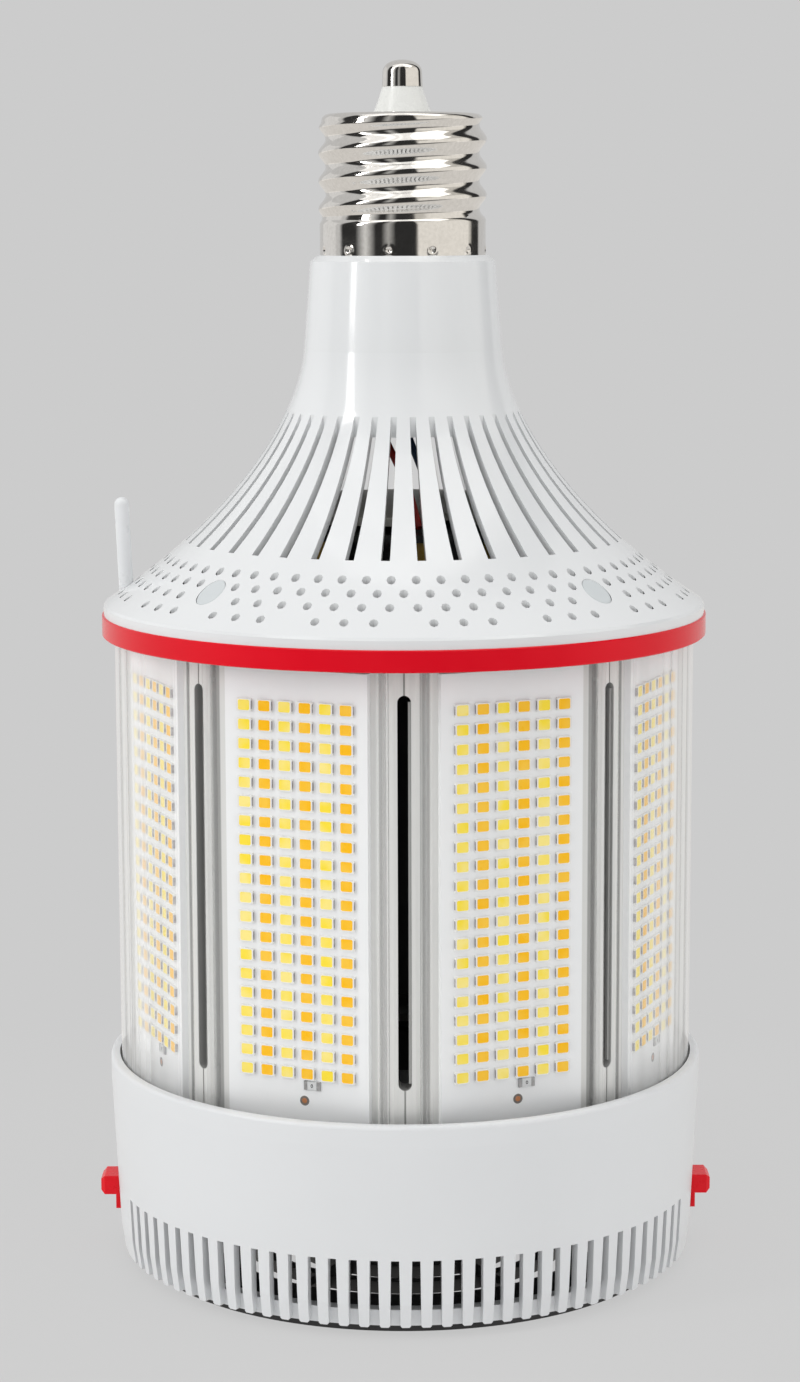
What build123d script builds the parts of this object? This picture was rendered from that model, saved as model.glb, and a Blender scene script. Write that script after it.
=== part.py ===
"""An LED lamp with a mogul screw base, standing on its bottom grille, in millimetres.

The resting plane is z = 0, the screw base points up along +Z and the two red latches
lie on the X axis. Azimuths are measured from the front, -Y, and grow towards +X.
"""

import math
import os

from build123d import *

os.makedirs("parts", exist_ok=True)

# Clearances
moulded_gap = 0.1
moving_gap = 0.3
hole_gap = 0.2

# Bottom grille
grille_t = 2.8
grille_hub_r = 17.0
grille_rib = 3.0
grille_gap = 8.0
grille_rows = 3
grille_spokes = 6
spoke_w = 3.2

# Collar
collar_foot_z = 2.5
collar_h = 47.1
collar_foot_r = 68.4
collar_low_r = 69.2
collar_low_h = 5.5
collar_rim_r = 71.0
collar_straight = 5.0
collar_edge = 1.0
collar_wall = 2.1
collar_shelf_t = 2.0
collar_shelf_r = 52.5
band_h = 3.6
band_step = 1.5
band_t = 3.0
comb_count = 18
comb_pitch = 3.9
comb_h = 15.9
comb_top_w = 1.85
comb_foot_w = 2.35
tooth_edge = 0.35

# Heat sink, its end plates and the corner slots between the LED boards
plate_t = 2.0
plate_bore_r = 50.0
sink_drop = 5.6
sink_len = 106.0
sides = 8
sink_flat = 61.0
sink_corner_r = 65.0
sink_wall = 2.4
post_depth = 6.2
post_w = 7.0
fin_count = 5
fin_pitch = 6.6
fin_t = 1.2
fin_depth = 12.0
slot_w = 3.0
slot_len = 88.7
slot_low = 12.1
seam_w = 0.4
seam_depth = 0.25
window_r = 44.0
window_w = 9.0
window_span = 22.0
wire_hole_r = 12.0

# LED boards and their clear covers
board_w = 34.4
board_t = 1.5
board_end_gap = 0.6
led_columns = 6
led_rows = 20
led_pitch_u = 4.92
led_pitch_z = 4.354
led_top = 8.2
led_w = 3.4
led_h = 2.7
led_t = 0.65
cover_r = 68.5
cover_w = 43.2
cover_t = 1.6

# Red trim ring
ring_r = 71.45
ring_h = 4.95
ring_wall = 2.45
ring_drop = 1.35
ring_edge = 0.25

# Top housing: neck, flared shoulder, vents and rows of holes
lip_r = 71.0
lip_h = 2.0
lip_edge = 0.6
shoulder_set = 0.4
neck_h = 81.5
neck_straight_h = 20.5
neck_low_r = 23.3
neck_top_r = 21.7
neck_bevel_w = 1.8
neck_bevel_h = 1.4
flare_neck_pull = 14.8
flare_rim_pull = 38.8
flare_rim_angle = 33.4
housing_wall = 2.2
skirt_wall = 2.2
spigot_wall = 2.2
spigot_h = 7.4
vent_count = 40
vent_in_r = 27.4
vent_out_r = 51.4
vent_in_w = 1.4
vent_out_w = 2.0
hole_count = 64
hole_d = 2.1
hole_sides = 8
hole_rows_r = (55.8, 59.1, 62.6, 66.6)

# Screw plugs and the screws below them, over the heat sink's corner posts
screw_r = 61.0
screw_d = 3.0
screw_head_d = 5.6
screw_head_h = 2.4
screw_bite = 3.8
head_rise = 6.0
plug_d = 6.5
boss_wall = 1.5

# Screw base
shell_r = 19.4
shell_t = 0.55
skirt_h = 10.2
thread_r = 19.65
root_r = 17.95
thread_pitch = 6.35
thread_turns = 4
insulator_low_r = 6.85
insulator_high_r = 4.65
insulator_hollow = 0.1
insulator_h = 6.2
insulator_lid = 1.0
insulator_depth = 9.0
pin_r = 4.75
pin_taper = 0.15
pin_h = 6.2
pin_dome = 3.0
pin_crown = 2.6
pin_stem_r = 1.8
pin_stem_h = 18.0

# Antenna
antenna_d = 3.5
antenna_h = 25.4
antenna_r = 65.7
antenna_lean = 2.3
antenna_rise = 5.1
antenna_tip = 0.05

# Driver in the shoulder
case_r = 36.0
case_h = 23.8
driver_board_r = 42.3
driver_board_t = 1.6
shield_r = 38.6
shield_t = 1.8
standoff_h = 1.8
standoff_r = 30.0
standoff_d = 5.0
notch_w = 14.0
notch_depth = 12.0
notch_azimuth = 10.0
part_w = 6.0
part_t = 3.6
part_h = 4.6
part_r = 39.6
part_azimuths = (7, 33, -24, 96, 171, -118)
core_w = 34.0
core_len = 84.0
core_edge = 2.0
wire_d = 1.7

# Fan
fan_bore_r = 50.0
fan_frame_r = 57.0
fan_h = 20.0
fan_leg_d = 6.0
fan_leg_r = 53.5
fan_leg_h = 16.8
fan_arms = 4
arm_w = 5.0
arm_t = 2.4
boss_r = 14.0
blade_count = 7
blade_t = 1.4
blade_h = 13.0
blade_root_angle = 48.0
blade_tip_angle = 30.0
blade_gap = 1.2
hub_r = 17.0
hub_h = 15.0
hub_t = 1.6
hub_boss_r = 3.5
stator_r = 13.5
stator_h = 10.0
axle_d = 3.0
axle_gap = 0.05

# Red latches
button_w = 8.0
button_h = 4.55
button_z = 13.05
button_out = 74.05
button_edge = 0.9
tab_h = 3.5
tab_out = 70.4
flange_out = 66.2
flange_t = 1.6
flange_w = 12.0
flange_rim = 1.1
stem_w = 4.0
stem_h = 4.0
stem_len = 9.0
latch_travel = 3.0
guide_t = 5.0
guide_wall = 2.0

# Derived places
collar_top_z = collar_foot_z + collar_h
sink_z = collar_top_z - sink_drop
sink_top_z = sink_z + sink_len
housing_z = sink_top_z + plate_t
ring_z = housing_z - ring_drop
lip_z = ring_z + ring_h
shoulder_z = lip_z + lip_h + lip_edge
shoulder_r = lip_r - shoulder_set
shell_z = lip_z + lip_h + neck_h
neck_top_z = shell_z - neck_bevel_h
neck_low_z = neck_top_z - neck_straight_h
skin_r = ring_r - ring_wall - moulded_gap
spigot_r = shell_r - shell_t - moulded_gap
head_z = housing_z + head_rise
shell_top_z = shell_z + skirt_h + (thread_turns - 0.5) * thread_pitch
corner_step = 360 / sides
lean_angle = math.radians(antenna_lean)
antenna_plane = Plane(
    origin=(-antenna_r, 0, housing_z + antenna_rise),
    z_dir=(-math.sin(lean_angle), 0, math.cos(lean_angle)),
)
vent_floor = lip_h
fan_z = grille_t + fan_leg_h
shelf_z = sink_z - plate_t - collar_shelf_t
blade_r = fan_bore_r - blade_gap
stem_z = button_z - (tab_h - button_h + stem_h) / 2
guide_x = flange_out - flange_t - latch_travel - moving_gap - guide_t / 2


def flare_points(inset):
    """Neck foot, two handles and rim end of the flare, moved inwards by a wall."""
    lean = math.atan2(neck_low_r - neck_top_r, neck_top_z - neck_low_z)
    rim = math.radians(flare_rim_angle)
    start = Vector(neck_low_r, neck_low_z) - Vector(math.cos(lean), math.sin(lean)) * inset
    end = Vector(shoulder_r, shoulder_z) - Vector(math.sin(rim), math.cos(rim)) * inset
    handle_a = start + Vector(math.sin(lean), -math.cos(lean)) * (flare_neck_pull + inset / 3)
    handle_b = end - Vector(math.cos(rim), -math.sin(rim)) * flare_rim_pull
    return [(p.X, p.Y) for p in (start, handle_a, handle_b, end)]


def at_azimuth(radius, azimuth):
    """Plan position at an azimuth from the front, growing towards +X."""
    angle = math.radians(azimuth)
    return radius * math.sin(angle), -radius * math.cos(angle)


def facing(radius, azimuth, height):
    """Upright plane that faces outwards at an azimuth, with local y along +Z."""
    outwards = (*at_azimuth(1, azimuth), 0)
    along = (*at_azimuth(1, azimuth + 90), 0)
    return Plane(origin=(*at_azimuth(radius, azimuth), height), x_dir=along, z_dir=outwards)


outer = flare_points(0)
inner = flare_points(housing_wall)
screw_spots = PolarLocations(screw_r, 4, start_angle=corner_step)

# Octagon with its corners cut off: the plan of the heat sink and its end plates
with BuildSketch() as sink_shape:
    RegularPolygon(sink_flat, sides, major_radius=False)
    RegularPolygon(
        sink_corner_r, sides, major_radius=False, rotation=corner_step / 2, mode=Mode.INTERSECT
    )

# Solid of the shoulder's outer shape, which trims what ends flush with it
with BuildPart() as envelope:
    with BuildSketch(Plane.XZ):
        with BuildLine():
            Bezier(*outer)
            Polyline(outer[3], (shoulder_r, housing_z), (0, housing_z), (0, neck_low_z), outer[0])
        make_face()
    revolve(axis=Axis.Z)

with BuildPart() as bosses:
    with BuildSketch(Plane.XY.offset(housing_z)):
        with screw_spots:
            Circle(plug_d / 2 + moulded_gap + boss_wall)
        with Locations((-antenna_r, 0)):
            Circle(antenna_d / 2 + boss_wall)
    extrude(amount=shoulder_z + shoulder_r - housing_z)
    with BuildSketch(Plane.XY.offset(housing_z)):
        Circle(skin_r)
    extrude(amount=shoulder_z + shoulder_r - housing_z, mode=Mode.INTERSECT)
    add(envelope.part, mode=Mode.INTERSECT)

# Top housing: one moulding from the neck's spigot to the skirt inside the trim ring
with BuildPart() as top_housing:
    with BuildSketch(Plane.XZ):
        with BuildLine():
            Bezier(*outer)
            Polyline(
                outer[3],
                (lip_r, shoulder_z - lip_edge),
                (lip_r, lip_z),
                (skin_r, lip_z),
                (skin_r, housing_z),
                (0, housing_z),
                (0, shell_z),
                (neck_top_r - neck_bevel_w, shell_z),
                (neck_top_r, neck_top_z),
                outer[0],
            )
        make_face()
    revolve(axis=Axis.Z)
    with BuildSketch(Plane.XZ):
        with BuildLine():
            Bezier(*inner)
            Polyline(
                inner[3],
                (inner[3][0], housing_z),
                (0, housing_z),
                (0, neck_top_z - housing_wall),
                (neck_top_r - housing_wall, neck_top_z - housing_wall),
                inner[0],
            )
        make_face()
        with Locations((0, housing_z)):
            Rectangle(2 * (skin_r - skirt_wall), 4 * shoulder_r, mode=Mode.INTERSECT)
    revolve(axis=Axis.Z, mode=Mode.SUBTRACT)
    with BuildSketch(Plane.XY.offset(shell_z)):
        Circle(spigot_r)
    extrude(amount=spigot_h)
    with BuildSketch(Plane.XY.offset(shell_z + spigot_h)):
        Circle(spigot_r - spigot_wall)
    extrude(amount=-spigot_h - neck_bevel_h - housing_wall, mode=Mode.SUBTRACT)
    add(bosses.part)
    # Vents, narrower towards the neck, drawn in plan and cut along the draw direction
    with BuildSketch(Plane.XY.offset(housing_z + vent_floor)):
        with PolarLocations(0, vent_count, start_angle=180 / vent_count):
            Polygon(
                (vent_in_r, -vent_in_w / 2),
                (vent_out_r, -vent_out_w / 2),
                (vent_out_r, vent_out_w / 2),
                (vent_in_r, vent_in_w / 2),
                align=None,
            )
    extrude(amount=shell_z - housing_z, mode=Mode.SUBTRACT)
    # Rows of round holes, which leave out the screw plugs and every fourth place of the last row
    step = 360 / hole_count
    spots = []
    for row, radius in enumerate(hole_rows_r):
        for k in range(hole_count):
            place = at_azimuth(radius, (k + 0.5 * (1 - row % 2)) * step)
            plugs = [math.dist(place, at_azimuth(screw_r, 45 + 90 * n)) for n in range(4)]
            if min(plugs) < plug_d / 2 + hole_d or (row == 3 and k % 4 == 0):
                continue
            spots.append(place)
    with BuildSketch(Plane.XY.offset(housing_z + vent_floor)):
        with Locations(*spots):
            RegularPolygon(hole_d / 2, hole_sides)
    extrude(amount=shell_z - housing_z, mode=Mode.SUBTRACT)
    # Screw recesses and the antenna's socket
    with BuildSketch(Plane.XY.offset(head_z)):
        with screw_spots:
            Circle(plug_d / 2 + moulded_gap)
    extrude(amount=shoulder_z, mode=Mode.SUBTRACT)
    with BuildSketch(Plane.XY.offset(housing_z)):
        with screw_spots:
            Circle(screw_d / 2 + hole_gap)
    extrude(amount=shoulder_z, mode=Mode.SUBTRACT)
    with BuildSketch(antenna_plane):
        Circle(antenna_d / 2 + moulded_gap)
    extrude(amount=antenna_h, mode=Mode.SUBTRACT)
top_housing.part.label = "top_housing"
export_step(top_housing.part, "parts/top_housing.step")

# Plugs that close the screw recesses flush with the shoulder
with BuildPart() as screw_plugs:
    with BuildSketch(Plane.XY.offset(head_z + screw_head_h + moving_gap)):
        with screw_spots:
            Circle(plug_d / 2)
    extrude(amount=shoulder_r)
    add(envelope.part, mode=Mode.INTERSECT)
screw_plugs.part.label = "screw_plugs"
export_step(screw_plugs.part, "parts/screw_plugs.step")

with BuildPart() as housing_screws:
    with BuildSketch(Plane.XY.offset(head_z)):
        with screw_spots:
            Circle(screw_head_d / 2)
    extrude(amount=screw_head_h)
    with BuildSketch(Plane.XY.offset(head_z)):
        with screw_spots:
            Circle(screw_d / 2)
    extrude(amount=sink_top_z - screw_bite - head_z)
housing_screws.part.label = "housing_screws"
export_step(housing_screws.part, "parts/housing_screws.step")

# Antenna, leaning slightly outwards in its socket
with BuildPart() as antenna:
    with BuildSketch(antenna_plane.offset(moulded_gap)):
        Circle(antenna_d / 2)
    extrude(amount=antenna_h)
    fillet(antenna.faces().sort_by(Axis.Z)[-1].edges(), antenna_d / 2 - antenna_tip)
antenna.part.label = "antenna"
export_step(antenna.part, "parts/antenna.step")

# Red trim ring round the housing's skirt
with BuildPart() as trim_ring:
    with BuildSketch(Plane.XY.offset(ring_z)):
        Circle(ring_r)
        Circle(ring_r - ring_wall, mode=Mode.SUBTRACT)
    extrude(amount=ring_h)
    chamfer(trim_ring.edges().filter_by(GeomType.CIRCLE).group_by(SortBy.RADIUS)[-1], ring_edge)
trim_ring.part.label = "trim_ring"
export_step(trim_ring.part, "parts/trim_ring.step")

# Screw shell: rolled thread above a plain skirt
bore_r = root_r - shell_t
mean_r = (root_r + thread_r) / 2
with BuildPart() as screw_shell:
    with BuildSketch(Plane.XZ):
        with BuildLine():
            thread = [(shell_r, shell_z), (shell_r, shell_z + skirt_h - thread_pitch / 4)]
            for quarter in range(4 * thread_turns - 1):
                radius = (root_r, mean_r, thread_r, mean_r)[quarter % 4]
                thread.append((radius, shell_z + skirt_h + quarter * thread_pitch / 4))
            Polyline(
                *thread,
                (bore_r + shell_t, shell_top_z),
                (bore_r, shell_top_z),
                (bore_r, shell_z + skirt_h),
                (shell_r - shell_t, shell_z + skirt_h - thread_pitch / 4),
                (shell_r - shell_t, shell_z),
                close=True,
            )
        make_face()
    revolve(axis=Axis.Z)
screw_shell.part.label = "screw_shell"
export_step(screw_shell.part, "parts/screw_shell.step")

# Insulator cone in the top of the shell
insulator_r = bore_r - moulded_gap
with BuildPart() as base_insulator:
    with BuildSketch(Plane.XZ):
        with BuildLine():
            top = (insulator_high_r, shell_top_z + insulator_h)
            foot = (insulator_low_r, shell_top_z)
            waist = (
                (insulator_high_r + insulator_low_r) / 2 - insulator_hollow,
                shell_top_z + insulator_h / 2,
            )
            ThreePointArc(top, waist, foot)
            Polyline(
                foot,
                (insulator_r, shell_top_z - insulator_lid),
                (insulator_r, shell_top_z - insulator_depth),
                (pin_stem_r + moulded_gap, shell_top_z - insulator_depth),
                (pin_stem_r + moulded_gap, shell_top_z + insulator_h),
                top,
            )
        make_face()
    revolve(axis=Axis.Z)
base_insulator.part.label = "base_insulator"
export_step(base_insulator.part, "parts/base_insulator.step")

# Domed contact pin with its stem
pin_z = shell_top_z + insulator_h
pin_top_z = pin_z + pin_h
with BuildPart() as contact_pin:
    with BuildSketch(Plane.XZ):
        with BuildLine():
            Polyline(
                (0, pin_top_z),
                (0, pin_top_z - pin_stem_h),
                (pin_stem_r, pin_top_z - pin_stem_h),
                (pin_stem_r, pin_z),
                (pin_r, pin_z),
                (pin_r - pin_taper, pin_top_z - pin_dome),
            )
            Bezier(
                (pin_r - pin_taper, pin_top_z - pin_dome),
                (pin_r - pin_taper, pin_top_z - pin_dome / 3),
                (pin_crown, pin_top_z),
                (0, pin_top_z),
            )
        make_face()
    revolve(axis=Axis.Z)
contact_pin.part.label = "contact_pin"
export_step(contact_pin.part, "parts/contact_pin.step")

# Heat sink: octagonal extrusion with inward fins and a slotted post at each corner
with BuildPart() as heat_sink:
    with BuildSketch(Plane.XY.offset(sink_z)):
        RegularPolygon(sink_flat, sides, major_radius=False)
        RegularPolygon(sink_flat - sink_wall, sides, major_radius=False, mode=Mode.SUBTRACT)
        with PolarLocations(sink_corner_r - post_depth / 2, sides):
            Rectangle(post_depth, post_w)
        with PolarLocations(sink_flat - sink_wall - fin_depth / 2, sides, corner_step / 2):
            with GridLocations(0, fin_pitch, 1, fin_count):
                Rectangle(fin_depth + sink_wall, fin_t)
        add(sink_shape.sketch, mode=Mode.INTERSECT)
        with PolarLocations(sink_corner_r, sides):
            Rectangle(2 * seam_depth, seam_w, mode=Mode.SUBTRACT)
    extrude(amount=sink_len)
    slot_z = sink_z + slot_low + slot_len / 2
    with BuildSketch(*[facing(sink_corner_r, n * corner_step, slot_z) for n in range(sides)]):
        SlotOverall(slot_len, slot_w, rotation=90)
    extrude(amount=-post_depth - sink_wall, mode=Mode.SUBTRACT)
    for end, way in ((sink_top_z, -1), (sink_z, 1)):
        with BuildSketch(Plane.XY.offset(end)):
            with screw_spots:
                Circle(screw_d / 2 + moulded_gap)
        extrude(amount=way * (screw_bite + moving_gap), mode=Mode.SUBTRACT)
heat_sink.part.label = "heat_sink"
export_step(heat_sink.part, "parts/heat_sink.step")

# End plates of the heat sink
with BuildPart() as top_plate:
    with BuildSketch(Plane.XY.offset(sink_top_z)):
        add(sink_shape.sketch)
        with screw_spots:
            Circle(screw_d / 2 + hole_gap, mode=Mode.SUBTRACT)
        with PolarLocations(0, sides, corner_step / 2):
            SlotArc(
                CenterArc((0, 0), window_r, -window_span / 2, window_span),
                window_w,
                mode=Mode.SUBTRACT,
            )
        Circle(wire_hole_r, mode=Mode.SUBTRACT)
    extrude(amount=plate_t)
top_plate.part.label = "top_plate"
export_step(top_plate.part, "parts/top_plate.step")

with BuildPart() as bottom_plate:
    with BuildSketch(Plane.XY.offset(sink_z - plate_t)):
        add(sink_shape.sketch)
        with screw_spots:
            Circle(screw_d / 2 + hole_gap, mode=Mode.SUBTRACT)
        Circle(plate_bore_r, mode=Mode.SUBTRACT)
    extrude(amount=plate_t)
bottom_plate.part.label = "bottom_plate"
export_step(bottom_plate.part, "parts/bottom_plate.step")

# Eight LED boards on the flats, each with rows of LED packages under its own clear cover
led_z = sink_top_z - board_end_gap - led_top - (led_rows - 1) * led_pitch_z / 2
for n in range(sides):
    frame = Plane.XY.rotated((0, 0, (n + 0.5) * corner_step - 90))
    with BuildPart() as led_board:
        with BuildSketch(frame.offset(sink_z + board_end_gap)):
            with Locations((sink_flat + board_t / 2, 0)):
                Rectangle(board_t, board_w)
        extrude(amount=sink_len - 2 * board_end_gap)
        with BuildSketch(facing(sink_flat + board_t, (n + 0.5) * corner_step, led_z)):
            with GridLocations(led_pitch_u, led_pitch_z, led_columns, led_rows):
                Rectangle(led_w, led_h)
        extrude(amount=led_t)
    led_board.part.label = f"led_board_{n + 1}"
    export_step(led_board.part, f"parts/led_board_{n + 1}.step")

    with BuildPart() as lens_cover:
        with BuildSketch(frame.offset(sink_z + moulded_gap)):
            Circle(cover_r)
            with Locations((sink_flat + cover_r / 2, 0)):
                Rectangle(cover_r, cover_w, mode=Mode.INTERSECT)
        extrude(amount=sink_len + plate_t - 2 * moulded_gap)
        with BuildSketch(frame.offset(sink_z + moulded_gap)):
            Circle(cover_r - cover_t)
            with Locations((sink_flat + cover_r / 2, 0)):
                Rectangle(cover_r, cover_w - 2 * cover_t, mode=Mode.INTERSECT)
        extrude(amount=sink_len + plate_t - 2 * moulded_gap, mode=Mode.SUBTRACT)
    lens_cover.part.label = f"lens_cover_{n + 1}"
    export_step(lens_cover.part, f"parts/lens_cover_{n + 1}.step")

# Collar: shell with a comb of air slots whose teeth are tied by an inner band
comb_places = [
    side * (k + 0.5) * comb_pitch + back
    for back in (0, 180)
    for side in (-1, 1)
    for k in range(comb_count)
]
with BuildPart() as collar:
    for inset, mode in ((0, Mode.ADD), (collar_wall, Mode.SUBTRACT)):
        with BuildSketch(Plane.XZ):
            with BuildLine():
                Polyline(
                    (0, collar_top_z),
                    (0, collar_foot_z),
                    (collar_foot_r - inset, collar_foot_z),
                    (collar_low_r - inset, collar_foot_z + collar_low_h),
                    (collar_rim_r - inset, collar_top_z - collar_straight),
                    (collar_rim_r - inset, collar_top_z),
                    close=True,
                )
            make_face()
        revolve(axis=Axis.Z, mode=mode)
        if inset == 0:
            fillet(collar.faces().sort_by(Axis.Z)[-1].edges(), collar_edge)
    with BuildSketch(*[facing(collar_rim_r, a, collar_foot_z) for a in comb_places]):
        with BuildLine():
            Polyline(
                (-comb_top_w / 2, comb_h),
                (-comb_foot_w / 2, tooth_edge),
                (-comb_foot_w / 2 - tooth_edge, 0),
                (comb_foot_w / 2 + tooth_edge, 0),
                (comb_foot_w / 2, tooth_edge),
                (comb_top_w / 2, comb_h),
                close=True,
            )
        make_face()
    extrude(amount=-3 * collar_wall, mode=Mode.SUBTRACT)
    with BuildSketch(Plane.XY.offset(collar_foot_z)):
        Circle(collar_foot_r - band_step)
        Circle(collar_foot_r - band_step - band_t, mode=Mode.SUBTRACT)
    extrude(amount=band_h)
    with BuildSketch(Plane.XY.offset(sink_z - plate_t)):
        Circle(collar_rim_r - collar_wall * 0.6)
        with screw_spots:
            Circle(screw_d / 2 + hole_gap, mode=Mode.SUBTRACT)
        Circle(collar_shelf_r, mode=Mode.SUBTRACT)
    extrude(amount=-collar_shelf_t)
    with BuildSketch(facing(0, 90, button_z)):
        with Locations((0, (button_h - tab_h) / 2)):
            Rectangle(button_w + 2 * moving_gap, button_h + tab_h + 2 * moving_gap)
    extrude(amount=collar_rim_r + 1, both=True, mode=Mode.SUBTRACT)
collar.part.label = "collar"
export_step(collar.part, "parts/collar.step")

# Bottom grille, with the fan's legs and the latches' guides on it
grille_r = collar_foot_r - band_step - band_t - moving_gap
row_step = grille_rib + grille_gap
with BuildPart() as bottom_grille:
    with BuildSketch():
        Circle(grille_r)
        for row in range(grille_rows):
            ring_in = grille_hub_r + row * row_step
            with BuildSketch(mode=Mode.PRIVATE) as ring_gap:
                Circle(ring_in + grille_gap)
                Circle(ring_in, mode=Mode.SUBTRACT)
                with PolarLocations(ring_in, grille_spokes):
                    Rectangle(2 * ring_in, spoke_w, mode=Mode.SUBTRACT)
            add(ring_gap.sketch, mode=Mode.SUBTRACT)
    extrude(amount=grille_t)
bottom_grille.part.label = "bottom_grille"
export_step(bottom_grille.part, "parts/bottom_grille.step")

with BuildPart() as fan_legs:
    with BuildSketch(Plane.XY.offset(grille_t)):
        with PolarLocations(fan_leg_r, 4, start_angle=corner_step):
            Circle(fan_leg_d / 2)
    extrude(amount=fan_leg_h)
fan_legs.part.label = "fan_legs"
export_step(fan_legs.part, "parts/fan_legs.step")

with BuildPart() as latch_guides:
    with BuildSketch(Plane.XY.offset(grille_t)):
        with Locations((guide_x, 0), (-guide_x, 0)):
            Rectangle(guide_t, stem_w + 2 * moving_gap + 2 * guide_wall)
    extrude(amount=stem_z + stem_h + moving_gap + guide_wall - grille_t)
    with BuildSketch(Plane.YZ):
        with Locations((0, stem_z + stem_h / 2)):
            Rectangle(stem_w + 2 * moving_gap, stem_h + 2 * moving_gap)
    extrude(amount=collar_rim_r, both=True, mode=Mode.SUBTRACT)
latch_guides.part.label = "latch_guides"
export_step(latch_guides.part, "parts/latch_guides.step")

# Red latches, which slide inwards through the collar's side windows
for name, side in (("latch_right", 1), ("latch_left", -1)):
    with BuildPart() as latch:
        with BuildSketch(Plane.XZ):
            with BuildLine():
                Polyline(
                    (side * (flange_out - flange_t), button_z),
                    (side * (button_out - button_edge), button_z),
                    (side * button_out, button_z + button_edge),
                    (side * button_out, button_z + button_h - button_edge),
                    (side * (button_out - button_edge), button_z + button_h),
                    (side * (flange_out - flange_t), button_z + button_h),
                    close=True,
                )
            make_face()
        extrude(amount=button_w / 2, both=True)
        outer_face = latch.faces().sort_by(Axis.X)[-1 if side > 0 else 0]
        chamfer(outer_face.edges().filter_by(Axis.Z), button_edge)
        with BuildSketch(Plane.XY.offset(button_z)):
            with Locations((side * (tab_out + flange_out - flange_t) / 2, 0)):
                Rectangle(tab_out - flange_out + flange_t, button_w)
        extrude(amount=-tab_h)
        with BuildSketch(Plane.YZ.offset(side * (flange_out - flange_t / 2))):
            with Locations((0, button_z + (button_h - tab_h) / 2)):
                Rectangle(flange_w, button_h + tab_h + 2 * flange_rim)
        extrude(amount=flange_t / 2, both=True)
        with BuildSketch(Plane.XY.offset(stem_z)):
            with Locations((side * (flange_out - flange_t - stem_len / 2), 0)):
                Rectangle(stem_len, stem_w)
        extrude(amount=stem_h)
    latch.part.label = name
    export_step(latch.part, f"parts/{name}.step")

# Fan frame: ring, arms and the motor's boss with its axle
with BuildPart() as fan_frame:
    with BuildSketch(Plane.XY.offset(fan_z)):
        Circle(fan_frame_r)
        Circle(fan_bore_r, mode=Mode.SUBTRACT)
    extrude(amount=fan_h)
    with BuildSketch(Plane.XY.offset(fan_z)):
        Circle(boss_r)
        with PolarLocations((boss_r + fan_bore_r) / 2, fan_arms):
            Rectangle(fan_bore_r - boss_r + arm_w, arm_w)
    extrude(amount=arm_t)
    with BuildSketch(Plane.XY.offset(fan_z)):
        Circle(axle_d / 2)
    extrude(amount=fan_h)
fan_frame.part.label = "fan_frame"
export_step(fan_frame.part, "parts/fan_frame.step")

with BuildPart() as fan_stator:
    with BuildSketch(Plane.XY.offset(fan_z + arm_t)):
        Circle(stator_r)
        Circle(hub_boss_r + 2 * moving_gap, mode=Mode.SUBTRACT)
    extrude(amount=stator_h)
fan_stator.part.label = "fan_stator"
export_step(fan_stator.part, "parts/fan_stator.step")

# Fan rotor: cupped hub on the axle with twisted blades
rotor_z = fan_z + arm_t + blade_gap
with BuildPart() as blades:
    for n in range(blade_count):
        for radius, angle in ((hub_r - hub_t / 2, blade_root_angle), (blade_r, blade_tip_angle)):
            chord = blade_h / math.sin(math.radians(angle))
            with BuildSketch(facing(radius, n * 360 / blade_count, rotor_z + hub_h / 2)):
                Rectangle(chord, blade_t, rotation=angle)
        loft()
    with BuildSketch(Plane.XY.offset(rotor_z)):
        Circle(blade_r)
    extrude(amount=hub_h, mode=Mode.INTERSECT)

with BuildPart() as fan_rotor:
    with BuildSketch(Plane.XY.offset(rotor_z)):
        Circle(hub_r)
    extrude(amount=hub_h)
    with BuildSketch(Plane.XY.offset(rotor_z)):
        Circle(hub_r - hub_t)
        Circle(hub_boss_r, mode=Mode.SUBTRACT)
    extrude(amount=hub_h - hub_t, mode=Mode.SUBTRACT)
    add(blades.part)
    with BuildSketch(Plane.XY.offset(rotor_z)):
        Circle(axle_d / 2 + axle_gap)
    extrude(amount=hub_h, mode=Mode.SUBTRACT)
fan_rotor.part.label = "fan_rotor"
export_step(fan_rotor.part, "parts/fan_rotor.step")

# Screws that hold the collar's shelf and the bottom plate to the heat sink
with BuildPart() as collar_screws:
    with BuildSketch(Plane.XY.offset(shelf_z)):
        with screw_spots:
            Circle(screw_head_d / 2)
    extrude(amount=-screw_head_h)
    with BuildSketch(Plane.XY.offset(shelf_z)):
        with screw_spots:
            Circle(screw_d / 2)
    extrude(amount=collar_shelf_t + plate_t + screw_bite)
collar_screws.part.label = "collar_screws"
export_step(collar_screws.part, "parts/collar_screws.step")

# Driver in the shoulder: potted case, board, small parts and the shield above
with BuildPart() as driver_case:
    with BuildSketch(Plane.XY.offset(housing_z)):
        Circle(case_r)
    extrude(amount=case_h)
driver_case.part.label = "driver_case"
export_step(driver_case.part, "parts/driver_case.step")

# Potted power stage that hangs from the top plate in the middle of the heat sink
with BuildPart() as driver_core:
    with BuildSketch(Plane.XY.offset(sink_top_z)):
        RectangleRounded(core_w, core_w, core_edge)
    extrude(amount=-core_len)
driver_core.part.label = "driver_core"
export_step(driver_core.part, "parts/driver_core.step")

board_z = housing_z + case_h
with BuildPart() as driver_board:
    with BuildSketch(Plane.XY.offset(board_z)):
        Circle(driver_board_r)
    extrude(amount=driver_board_t)
driver_board.part.label = "driver_board"
export_step(driver_board.part, "parts/driver_board.step")

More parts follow.
